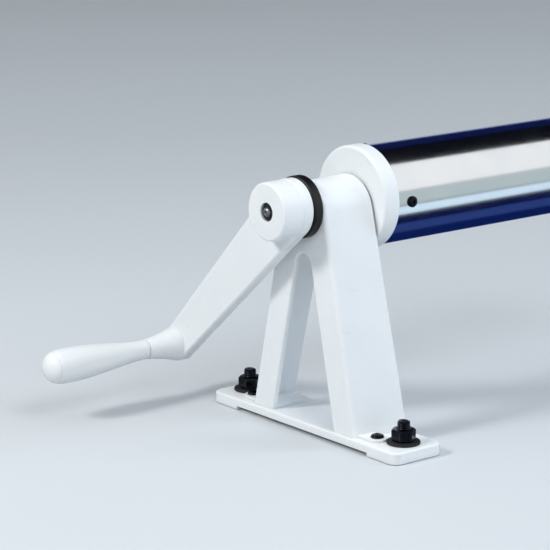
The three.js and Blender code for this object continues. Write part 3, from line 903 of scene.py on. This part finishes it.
@dataclass(frozen=True)
class Stand:
    """The moulded A-shaped stand: a front wall with a tall opening, and a skirt that flares to the back."""

    front: float = -21.0
    back: float = 24.0
    foot: float = 9.1
    wall: float = 4.0
    front_arch: Arch = Arch(60.0, 25.0, AXIS_HEIGHT - 7)
    back_arch: Arch = Arch(68.0, 27.0, AXIS_HEIGHT - 8)
    opening: Arch = Arch(36.0, 9.0, AXIS_HEIGHT - 45)
    front_edge: float = 3.2
    opening_edge: float = 1.4
    inner_edge: float = 2.0
    rim_edge: float = 0.9
    sole: float = 3.0
    sole_back: float = 12.0
    bore: float = 12.15
    boss_radius: float = 16.5
    boss_back: float = 20.0
    rib: float = 3.0
    tab_at: Pair = (-10.0, 73.0)
    tab_radius: float = 7.5
    tab_reach: float = 14.0
    tab_thickness: float = 2.0
    screw_at: Pair = (6.0, 50.0)
    ejector_marks: tuple[Pair, ...] = ((39.0, 40.0), (30.0, 80.0), (22.0, 118.0))
    mark_radius: float = 3.2
    tab_screw_end: float = 4.0
    sole_seat: float = 5.9

    def skirt(self, x: float, inset: float) -> list[Triple]:
        """Trace the skirt at x, drawn in by an inset."""
        share = (x - self.front) / (self.back - self.front)
        arch = self.front_arch.mixed(self.back_arch, share).grown(-inset)
        return [(x, y, z) for y, z in arch.outline(self.foot)]

    def doorway(self, x: float, growth: float) -> list[Triple]:
        """Trace the leg opening at x, widened by a growth."""
        return [(x, y, z) for y, z in self.opening.grown(growth).outline(self.foot)]

    def stations(self) -> list[list[Triple]]:
        """List the outlines that the wall's section passes, from the outer rim round to the rim again."""
        inside = self.front + self.wall
        lines = []
        for k in range(7):
            x = self.back - self.rim_edge + (self.front + self.front_edge - self.back + self.rim_edge) * k / 7
            lines.append(self.skirt(x, 0.0))
        for drop, inset in quarter_round(self.front_edge):
            lines.append(self.skirt(self.front + drop, inset))
        for drop, inset in reversed(quarter_round(self.opening_edge)):
            lines.append(self.doorway(self.front + drop, inset))
        lines.append(self.doorway(inside - 0.5, 0.0))
        lines.append(self.doorway(inside, 0.5))
        for inset, drop in quarter_round(self.inner_edge):
            lines.append(self.skirt(inside + drop, self.wall + inset))
        for k in range(1, 7):
            x = inside + self.inner_edge + (self.back - self.rim_edge - inside - self.inner_edge) * k / 6
            lines.append(self.skirt(x, self.wall))
        rim = quarter_round(self.rim_edge)
        for drop, inset in rim:
            lines.append(self.skirt(self.back - drop, self.wall - inset))
        for drop, inset in rim[:0:-1]:
            lines.append(self.skirt(self.back - drop, inset))
        return lines

    def shell(self) -> Solid:
        """Build the wall itself, with the bush's bore through it."""
        loops = [list(loop) for loop in zip(*self.stations())]
        bore = [(self.front - 1, self.bore), (self.boss_back, self.bore)]
        return Solid().skin(loops).minus(Solid().turned(bore, along_tube(), segments=80))

    def boss(self) -> Solid:
        """Build the boss that holds the bushes, and its rib."""
        start = self.front + self.wall - 1
        corners = [
            (start, self.bore, 0),
            (start, self.boss_radius, 0),
            (self.boss_back, self.boss_radius, 0.6),
            (self.boss_back, self.bore, 0.3),
        ]
        solid = Solid().ring(corners, along_tube())
        height = self.front_arch.centre
        for side in Side:
            near, far = self.bore + 2, self.front_arch.radius - self.wall / 2
            ends = sorted((side.value * near, side.value * far))
            low = (start, ends[0], height - self.rib / 2)
            solid.block(low, (self.boss_back - 2, ends[1], height + self.rib / 2), 0.5)
        return solid

    def feet(self) -> Solid:
        """Build each leg's sole and the screw tab beside it."""
        solid = Solid()
        inside = self.front + self.wall - 1
        x, y = self.tab_at
        for side in Side:
            rings = []
            for at in (inside, self.sole_back):
                share = (at - self.front) / (self.back - self.front)
                half = self.front_arch.mixed(self.back_arch, share).half_width
                near, far = side.value * (self.opening.half_width + 0.5), side.value * (half - self.wall / 2)
                top = self.foot + self.sole
                rings.append([(at, near, self.foot), (at, far, self.foot), (at, far, top), (at, near, top)])
            solid.skin(rings)

            def tab(inset: float, side: Side = side) -> Outline:
                """Trace the tab drawn in by an inset."""
                radius = self.tab_radius - inset
                root = y - self.tab_reach
                turn = [k / 20 * math.pi for k in range(21)]
                outer = [(x + radius * math.cos(a), y + radius * math.sin(a)) for a in turn]
                whole = [*outer, (x - radius, root), (x + radius, root)]
                return [(across, side.value * along) for across, along in whole]

            levels = rounded_levels(self.foot, self.foot + self.tab_thickness, 0.1, 0.6)
            solid.stacked(tab, levels, Matrix.Identity(4))
        return solid

    def marks(self) -> Solid:
        """Build the faint discs that the mould's ejector pins left inside."""
        solid = Solid()
        low, high = self.front + self.wall - 0.5, self.front + self.wall + 0.2
        radius = self.mark_radius
        disc = [(low, 0), (low, radius), (high, radius), (high, 0)]
        for side in Side:
            for y, z in self.ejector_marks:
                solid.turned(disc, along_tube(side.value * y, z), segments=32)
        return solid

    def screws(self) -> None:
        """Build and dress the screws in the tabs and under the soles."""
        for side in Side:
            label = side.name.lower()
            x, y = self.tab_at
            seat = self.foot + self.tab_thickness + 0.1
            tab = ButtonScrew(5.0, 2.5, 2.0, seat - self.tab_screw_end)
            place = axis_frame((x, side.value * y, seat), (0.0, 0.0, 1.0))
            dress(f"tab_fixing_{label}", tab.solid(place), BLACK_STEEL, Body.STAND, f"tab_screw_{label}")
            x, y = self.screw_at
            sole = ButtonScrew(4.5, 2.5, 2.0, self.foot + self.sole - 0.5 - self.sole_seat)
            place = axis_frame((x, side.value * y, self.sole_seat), (0.0, 0.0, -1.0))
            dress(f"sole_fixing_{label}", sole.solid(place), STAINLESS, Body.STAND, f"sole_screw_{label}")

    def build(self) -> None:
        """Build and dress the stand."""
        whole = self.shell().plus(self.boss()).plus(self.feet()).plus(self.marks())
        dress("stand_moulding", whole, ABS, Body.STAND, "stand_shell")
        self.screws()


# ---------------------------------------------------------------- bearing


@dataclass(frozen=True)
class Bearing:
    """The two flanged bushes in the stand's boss and the washer between the rear one and the tube's cap."""

    bore: float = 8.2
    sleeve: float = 12.0
    front_flange: float = 23.5
    front_span: Pair = (-28.7, -21.1)
    rear_flange: float = 14.2
    rear_span: Pair = (20.1, 22.9)
    washer_radius: float = 13.8
    washer_span: Pair = (23.0, 25.2)
    sleeve_ends: Pair = (-3.0, 3.0)

    def build(self) -> None:
        """Build and dress the bushes and the washer."""
        front_end, rear_end = self.sleeve_ends
        start, end = self.front_span
        front = [
            (start, self.bore, 0),
            (start, self.front_flange, 1.3),
            (end, self.front_flange, 0.6),
            (end, self.sleeve, 0),
            (front_end, self.sleeve, 0),
            (front_end, self.bore, 0),
        ]
        solid = Solid().ring(front, along_tube(), segments=128)
        # Painted shade in part: this is a real bush, and the black of its flange, a dark ring round the hub,
        # also stands in for the hub's shadow on the stand.
        dress("front_bush_and_shadow_ring", solid, NYLON, Body.STAND, "front_bush")

        start, end = self.rear_span
        rear = [
            (rear_end, self.bore, 0),
            (rear_end, self.sleeve, 0),
            (start, self.sleeve, 0),
            (start, self.rear_flange, 0.3),
            (end, self.rear_flange, 0.8),
            (end, self.bore, 0),
        ]
        dress("rear_flanged_bush", Solid().ring(rear, along_tube()), NYLON, Body.STAND, "rear_bush")

        start, end = self.washer_span
        washer = [
            (start, self.bore, 0),
            (start, self.washer_radius, 0.3),
            (end, self.washer_radius, 0.3),
            (end, self.bore, 0),
        ]
        dress("thrust_ring", Solid().ring(washer, along_tube()), STAINLESS, Body.REEL, "thrust_washer")


# ---------------------------------------------------------------- crank and grip


@dataclass(frozen=True)
class Crank:
    """The moulded crank: a hub over the axle's end, a tapering arm and the neck that carries the grip."""

    throw: float = 190.0
    angle: float = math.radians(-43.5)
    hub_span: Pair = (-56.0, -29.0)
    hub_radius: float = 22.0
    hub_edge: float = 2.0
    arm_front: float = -39.0
    arm_radii: Pair = (22.5, 14.0)
    arm_edge: float = 2.2
    recess: Pair = (7.0, 3.0)
    screw_hole: float = 2.15
    spindle_hole: float = 4.15
    spindle_head: Pair = (7.15, 4.0)
    neck: tuple[Pair, ...] = ((0, 13.7), (3, 12.9), (8, 11.4), (14, 10.0), (21, 8.7), (28, 7.9))

    @property
    def elbow(self) -> Pair:
        """Where the grip's axis crosses the arm, as (y, z)."""
        return self.throw * math.cos(self.angle), AXIS_HEIGHT + self.throw * math.sin(self.angle)

    def arm_outline(self, inset: float) -> Outline:
        """Trace the arm, drawn in by an inset, as points in the plane across the tube."""
        big, small = (radius - inset for radius in self.arm_radii)
        lean = math.asin((big - small) / self.throw)
        reach = math.pi / 2 - lean
        y, z = self.elbow
        points = []
        for k in range(41):
            angle = self.angle - reach + 2 * reach * k / 40
            points.append((y + small * math.cos(angle), z + small * math.sin(angle)))
        for k in range(41):
            angle = self.angle + reach + (math.tau - 2 * reach) * k / 40
            points.append((big * math.cos(angle), AXIS_HEIGHT + big * math.sin(angle)))
        return points

    def arm(self) -> Solid:
        """Build the arm with the grip spindle's hole and the pocket for its head."""
        back = self.hub_span[1]
        across = Matrix(((0, 0, 1, 0), (1, 0, 0, 0), (0, 1, 0, 0), (0, 0, 0, 1)))
        levels = [(x, inset) for x, inset in rounded_levels(self.arm_front, back, self.arm_edge, 1.0, 5)]
        arm = Solid().stacked(lambda inset: self.arm_outline(inset + 0.1), levels, across)
        head_radius, head_depth = self.spindle_head
        steps = [
            (self.arm_front - 1, self.spindle_hole),
            (back - head_depth, self.spindle_hole),
            (back - head_depth, head_radius),
            (back + 1, head_radius),
        ]
        return arm.minus(Solid().turned(steps, along_tube(*self.elbow), segments=64))

    def hub(self) -> Solid:
        """Build the hub with the screw's recess in its face."""
        front, back = self.hub_span
        radius, depth = self.recess
        corners = [
            (front, radius, 0.5),
            (front, self.hub_radius, self.hub_edge),
            (back, self.hub_radius, 0.8),
            (back, self.screw_hole, 0),
            (front + depth, self.screw_hole, 0),
            (front + depth, radius, 0.4),
        ]
        return Solid().ring(corners, along_tube(), segments=144)

    def neck_solid(self) -> Solid:
        """Build the flared neck."""
        outer = [(self.arm_front - along, radius) for along, radius in splined(self.neck, 5)]
        rim = outer[-1][0]
        loop = [
            (self.arm_front + 1.5, self.spindle_hole),
            (self.arm_front + 1.5, outer[0][1]),
            *outer[:-1],
            (rim, outer[-1][1] - 0.3),
            (rim, self.spindle_hole),
        ]
        return Solid().turned(loop, along_tube(*self.elbow), closed=True, segments=96)

    def screw(self) -> None:
        """Build and dress the screw that clamps the hub, and the rubber ring under its head."""
        front = self.hub_span[0]
        radius, depth = self.recess
        seat = front + depth
        outer = radius - 0.15
        corners = [
            (seat - 1.2, self.screw_hole, 0.2),
            (seat - 1.2, outer, 0.4),
            (seat - 0.1, outer, 0.1),
            (seat - 0.1, self.screw_hole, 0),
        ]
        dress("hub_ring", Solid().ring(corners, along_tube()), RUBBER, Body.REEL, "crank_washer")
        place = axis_frame((seat - 1.3, 0.0, AXIS_HEIGHT), (-1.0, 0.0, 0.0))
        bolt = ButtonScrew(3.5, 2.5, 2.0, 19.3, socket_apothem=1.2, socket_depth=1.4)
        dress("hub_screw", bolt.solid(place), STAINLESS, Body.REEL, "crank_screw")

    def build(self) -> None:
        """Build and dress the crank."""
        whole = self.arm().plus(self.hub()).plus(self.neck_solid())
        dress("crank_moulding", whole, ABS, Body.REEL, "crank_arm")
        self.screw()
        for node in ("grip_spindle", "grip_retainer", "axle", "axle_cross_pin"):
            dress_node(node, STAINLESS)


@dataclass(frozen=True)
class Grip:
    """The turning grip, a slim neck that swells towards its end, and the domed plug that closes it."""

    crank: Crank = field(default_factory=Crank)
    bore: float = 4.2
    pocket: Pair = (96.0, 8.0)
    end: float = 114.0
    outer: tuple[Pair, ...] = (
        (28.3, 7.7), (33, 7.6), (38, 7.7), (43, 8.1), (52, 9.1), (62, 10.4), (71, 11.5),
        (81, 12.5), (90, 13.1), (98, 13.4), (106, 13.4), (111, 12.9), (114, 12.1),
    )  # fmt: skip
    dome: tuple[Pair, ...] = ((114.1, 12.0), (116.8, 10.8), (119.2, 8.4), (121.0, 4.6), (121.6, 0))
    plug_start: float = 108.0
    plug_radius: float = 7.85

    def place(self, profile: Sequence[Pair]) -> Outline:
        """Turn distances from the arm's face into places along the tube's axis."""
        return [(self.crank.arm_front - along, radius) for along, radius in profile]

    def build(self) -> None:
        """Build and dress the grip and its plug."""
        axis = along_tube(*self.crank.elbow)
        depth, pocket = self.pocket
        outer = splined(self.outer, 5)
        first, last = outer[0], outer[-1]
        loop = [
            (first[0], self.bore),
            (first[0], first[1] - 0.4),
            (first[0] + 0.4, first[1]),
            *outer[2:-1],
            (last[0] - 0.3, last[1] + 0.05),
            (last[0], last[1] - 0.3),
            (self.end, pocket),
            (depth, pocket),
            (depth, self.bore),
        ]
        grip = Solid().turned(self.place(loop), axis, closed=True, segments=112)
        dress("grip_moulding", grip, ABS, Body.GRIP, "handle_grip")

        dome = splined(self.dome, 6)
        plug = [
            (self.plug_start, 0.0),
            (self.plug_start, self.plug_radius),
            (self.dome[0][0], self.plug_radius),
            (self.dome[0][0], self.dome[0][1] - 0.3),
            *dome[1:],
        ]
        solid = Solid().turned(self.place(plug), axis, segments=112)
        dress("grip_dome", solid, ABS, Body.GRIP, "grip_end_plug")


# ---------------------------------------------------------------- tube


@dataclass(frozen=True)
class Roller:
    """The long tube and the moulded cap that centres it on the axle."""

    tube_span: Pair = (39.1, 339.1)
    tube_radii: Pair = (36.5, 38.1)
    cap_span: Pair = (25.5, 39.0)
    cap_radius: float = 40.0
    cap_edge: float = 2.5
    spigot: Pair = (36.35, 32.35)
    spigot_end: float = 75.0
    core_radius: float = 13.0
    core_end: float = 72.0
    axle_hole: float = 8.15
    web: float = 4.0
    rib_angles: tuple[float, ...] = (30.0, 150.0, 270.0)
    screw_x: float = 53.0
    screw_angles: tuple[float, ...] = (180.0, 60.0, -60.0)

    def radial(self, x: float, degrees: float, distance: float) -> Matrix:
        """Place local +Z outwards from the tube's axis at an angle from +Y towards +Z."""
        angle = math.radians(degrees)
        out = (0.0, math.cos(angle), math.sin(angle))
        return axis_frame((x, distance * out[1], AXIS_HEIGHT + distance * out[2]), out)

    def cap(self) -> Solid:
        """Build the cap: flange, spigot, core and the ribs between them."""
        front, back = self.cap_span
        outer, inner = self.spigot
        floor = back + self.web
        corners = [
            (front, self.axle_hole, 0.3),
            (front, self.cap_radius, self.cap_edge),
            (back, self.cap_radius, 0.5),
            (back, outer, 0),
            (self.spigot_end, outer, 0.8),
            (self.spigot_end, inner, 0.4),
            (floor, inner, 0.8),
            (floor, self.core_radius, 0.8),
            (self.core_end, self.core_radius, 0.6),
            (self.core_end, self.axle_hole, 0.3),
        ]
        solid = Solid().ring(corners, along_tube(), segments=160)
        for degrees in self.rib_angles:
            place = self.radial(0.0, degrees, 0.0)
            across = place.inverted() @ Vector((1.0, 0.0, AXIS_HEIGHT))
            along_local_x = abs(across.x) > abs(across.y)
            sign = 1.0 if (across.x if along_local_x else across.y) > 0 else -1.0
            ends = sorted((sign * (floor - 1), sign * (self.spigot_end - 8)))
            spans = [ends, [-1.5, 1.5]] if along_local_x else [[-1.5, 1.5], ends]
            low = (spans[0][0], spans[1][0], self.core_radius - 1)
            solid.block(low, (spans[0][1], spans[1][1], inner + 1), 0.5, place)
        return solid

    def tube(self) -> Solid:
        """Build the tube with its ends deburred."""
        start, end = self.tube_span
        inner, outer = self.tube_radii
        corners = [(start, inner, 0.3), (start, outer, 0.4), (end, outer, 0.4), (end, inner, 0.3)]
        return Solid().ring(corners, along_tube(), segments=256)

    def build(self) -> None:
        """Build and dress the cap, the tube and its screws."""
        dress("cap_moulding", self.cap(), ABS, Body.REEL, "end_cap")
        tube = dress("drawn_tube", self.tube(), ALUMINIUM, Body.REEL, "tube")
        tube.data.materials.append(MILL_ALUMINIUM.material())
        for face in tube.data.polygons:
            out = Vector((0.0, face.center.y, face.center.z - AXIS_HEIGHT * MM)).normalized()
            face.material_index = 1 if face.normal.dot(out) < -0.5 else 0
        screw = ButtonScrew(4.3, 2.2, 2.0, 8.5)
        for index, degrees in enumerate(self.screw_angles, 1):
            place = self.radial(self.screw_x, degrees, self.tube_radii[1] + 0.1)
            dress(f"tube_fixing_{index}", screw.solid(place), BLACK_STEEL, Body.REEL, f"tube_screw_{index}")


# ---------------------------------------------------------------- studio


@dataclass(frozen=True)
class Softbox:
    """A soft lamp aimed at the object."""

    name: str
    position: Triple
    size: float
    power: float
    colour: str = "#ffffff"
    reflected: bool = True
    target: Triple = (0.05, 0.0, 0.12)

    def place(self) -> None:
        """Put the lamp in the scene."""
        data = bpy.data.lights.new(self.name, "AREA")
        data.shape, data.size, data.energy = "DISK", self.size, self.power
        data.color = linear(self.colour)[:3]
        lamp = bpy.data.objects.new(self.name, data)
        lamp.location = self.position
        aim = Vector(self.target) - Vector(self.position)
        lamp.rotation_euler = aim.to_track_quat("-Z", "Y").to_euler()
        lamp.visible_glossy = self.reflected
        lamp.visible_camera = False
        bpy.context.scene.collection.objects.link(lamp)
        LOG.info("lamp %s", self.name)


@dataclass(frozen=True)
class ReflectorStrip:
    """A long card beside the tube that only reflections see; it is what gives the tube one of its bands."""

    name: str
    from_degrees: float
    to_degrees: float
    colour: str
    strength: float
    radius: float = 1.5
    along: Pair = (0.35, 4.0)

    def place(self) -> None:
        """Put the card in the scene, as an arc about the tube's axis from +Y towards +Z."""
        mesh = bmesh.new()
        rows = []
        for k in range(13):
            angle = math.radians(self.from_degrees + (self.to_degrees - self.from_degrees) * k / 12)
            y, z = self.radius * math.cos(angle), AXIS_HEIGHT * MM + self.radius * math.sin(angle)
            rows.append([mesh.verts.new((x, y, z)) for x in self.along])
        for lower, upper in zip(rows, rows[1:]):
            mesh.faces.new((lower[0], lower[1], upper[1], upper[0]))
        data = bpy.data.meshes.new(self.name)
        mesh.to_mesh(data)
        card = bpy.data.objects.new(self.name, data)
        bpy.context.scene.collection.objects.link(card)
        glow = bpy.data.materials.new(self.name)
        tree = emptied(glow)
        light = add(tree, "Emission", {"Color": linear(self.colour), "Strength": self.strength})
        add(tree, "OutputMaterial", {"Surface": light.outputs[0]})
        glow.cycles.emission_sampling = "NONE"
        data.materials.append(glow)
        card.visible_camera = card.visible_diffuse = card.visible_shadow = False
        card.visible_transmission = card.visible_volume_scatter = False
        LOG.info("card %s", self.name)


@dataclass(frozen=True)
class Floor:
    """A plain pale floor that sweeps up into a backdrop all round."""

    flat_radius: float = 7.0
    wall_radius: float = 12.0
    height: float = 6.0
    drop: float = 0.0003
    pale: str = "#cdd1d4"
    paler: str = "#d4d8db"

    def place(self) -> None:
        """Put the floor in the scene."""
        mesh = bmesh.new()
        sweep = self.wall_radius - self.flat_radius
        profile = [(0.001, 0.0), (self.flat_radius, 0.0)]
        for k in range(1, 13):
            angle = k / 12 * math.pi / 2
            profile.append((self.flat_radius + sweep * math.sin(angle), sweep * (1 - math.cos(angle))))
        profile.append((self.wall_radius, self.height))
        rows = []
        for radius, z in profile:
            row = []
            for k in range(96):
                angle = math.tau * k / 96
                at = (radius * math.cos(angle), radius * math.sin(angle), z - self.drop)
                row.append(mesh.verts.new(at))
            rows.append(row)
        for lower, upper in zip(rows, rows[1:]):
            for i, _ in enumerate(lower):
                j = (i + 1) % len(lower)
                mesh.faces.new((lower[i], lower[j], upper[j], upper[i]))
        mesh.faces.new(rows[0])
        data = bpy.data.meshes.new("floor")
        mesh.to_mesh(data)
        data.shade_smooth()
        floor = bpy.data.objects.new("floor", data)
        bpy.context.scene.collection.objects.link(floor)
        paint = bpy.data.materials.new("floor")
        tree = emptied(paint)
        place = add(tree, "TexCoord").outputs["Object"]
        cloud = add(tree, "TexNoise", {"Vector": place, "Scale": 1.5, "Detail": 2.0})
        tone = add(
            tree, "Mix", {0: cloud.outputs[0], 6: linear(self.pale), 7: linear(self.paler)}, data_type="RGBA"
        )
        matte = add(tree, "BsdfPrincipled", {"Base Color": tone.outputs[2], "Roughness": 0.85})
        add(tree, "OutputMaterial", {"Surface": matte.outputs[0]})
        data.materials.append(paint)
        floor.visible_glossy = False
        LOG.info("floor")


@dataclass(frozen=True)
class Studio:
    """The room: its glow, lamps, reflector cards and camera."""

    room: str = "#e6ecf2"
    room_strength: float = 0.62
    zenith: float = 0.7
    nadir: float = 0.35
    camera_at: Triple = (-1.1150, -1.3227, 0.5305)
    view: Triple = (0.6109, 0.7571, -0.2317)
    lens: float = 155.2

    def lights(self) -> list[Softbox]:
        """List the lamps."""
        return [
            Softbox("key", (-1.45, 0.35, 1.25), 0.42, 17.0),
            Softbox("camera_side", (-0.1, -1.45, 1.55), 1.0, 13.0, "#f8fbff", reflected=False),
            Softbox("overhead", (0.1, 0.1, 3.6), 5.5, 36.0, reflected=False),
            Softbox("behind", (1.9, -1.5, 1.5), 1.4, 22.0, "#d9eaff", reflected=False),
        ]

    def cards(self) -> list[ReflectorStrip]:
        """List the reflector cards in order round the tube."""
        return [
            ReflectorStrip("rim_card", -30.0, 10.0, "#a9badb", 0.8),
            ReflectorStrip("dark_back", 12.0, 50.0, "#071447", 1.0),
            ReflectorStrip("dark_top", 50.0, 103.0, "#01030c", 1.0),
            ReflectorStrip("card_high", 103.0, 168.0, "#ffffff", 0.98),
            ReflectorStrip("card_middle", 172.0, 199.0, "#c6d3d4", 0.92),
            ReflectorStrip("card_low", 203.0, 222.0, "#dcf1ff", 1.05),
            ReflectorStrip("dark_low", 224.0, 246.0, "#020a3c", 1.0),
            ReflectorStrip("dark_streak", 246.0, 274.0, "#2c3f7c", 1.0),
            ReflectorStrip("dark_under", 274.0, 328.0, "#0b1d55", 1.0),
        ]

    def world(self) -> None:
        """Make the room a pale grey that fills the shadows, brightest just above the horizon."""
        world = bpy.data.worlds.new("room")
        tree = emptied(world)
        way = add(tree, "TexCoord").outputs["Generated"]
        height = add(tree, "SeparateXYZ", {"Vector": way}).outputs["Z"]
        below = add(
            tree,
            "MapRange",
            {"Value": height, "From Min": -0.5, "From Max": 0.05, "To Min": self.nadir, "To Max": 1.0},
            interpolation_type="SMOOTHSTEP",
        )
        above = add(
            tree,
            "MapRange",
            {"Value": height, "From Min": 0.15, "From Max": 0.9, "To Min": 1.0, "To Max": self.zenith},
            interpolation_type="SMOOTHSTEP",
        )
        share = add(tree, "Math", {0: below.outputs[0], 1: above.outputs[0]}, operation="MULTIPLY")
        strength = add(tree, "Math", {0: share.outputs[0], 1: self.room_strength}, operation="MULTIPLY")
        glow = add(tree, "Background", {"Color": linear(self.room), "Strength": strength.outputs[0]})
        add(tree, "OutputWorld", {"Surface": glow.outputs[0]})
        bpy.context.scene.world = world

    def camera(self) -> None:
        """Place the camera."""
        data = bpy.data.cameras.new("camera")
        data.lens, data.sensor_width = self.lens, 36.0
        data.clip_start, data.clip_end = 0.05, 30.0
        camera = bpy.data.objects.new("camera", data)
        camera.location = self.camera_at
        camera.rotation_euler = Vector(self.view).to_track_quat("-Z", "Y").to_euler()
        bpy.context.scene.collection.objects.link(camera)
        bpy.context.scene.camera = camera

    def build(self) -> None:
        """Set up the whole studio."""
        Floor().place()
        for lamp in self.lights():
            lamp.place()
        for card in self.cards():
            card.place()
        self.world()
        self.camera()
        bpy.context.scene.view_settings.view_transform = "Standard"


def main() -> None:
    """Build the object round its frame, then the studio."""
    logging.basicConfig(level=logging.INFO, format="%(message)s")
    BasePlate().build()
    AnchorBolt().build()
    Stand().build()
    Bearing().build()
    crank = Crank()
    crank.build()
    Grip(crank).build()
    Roller().build()
    Studio().build()


if __name__ == "__main__":
    main()
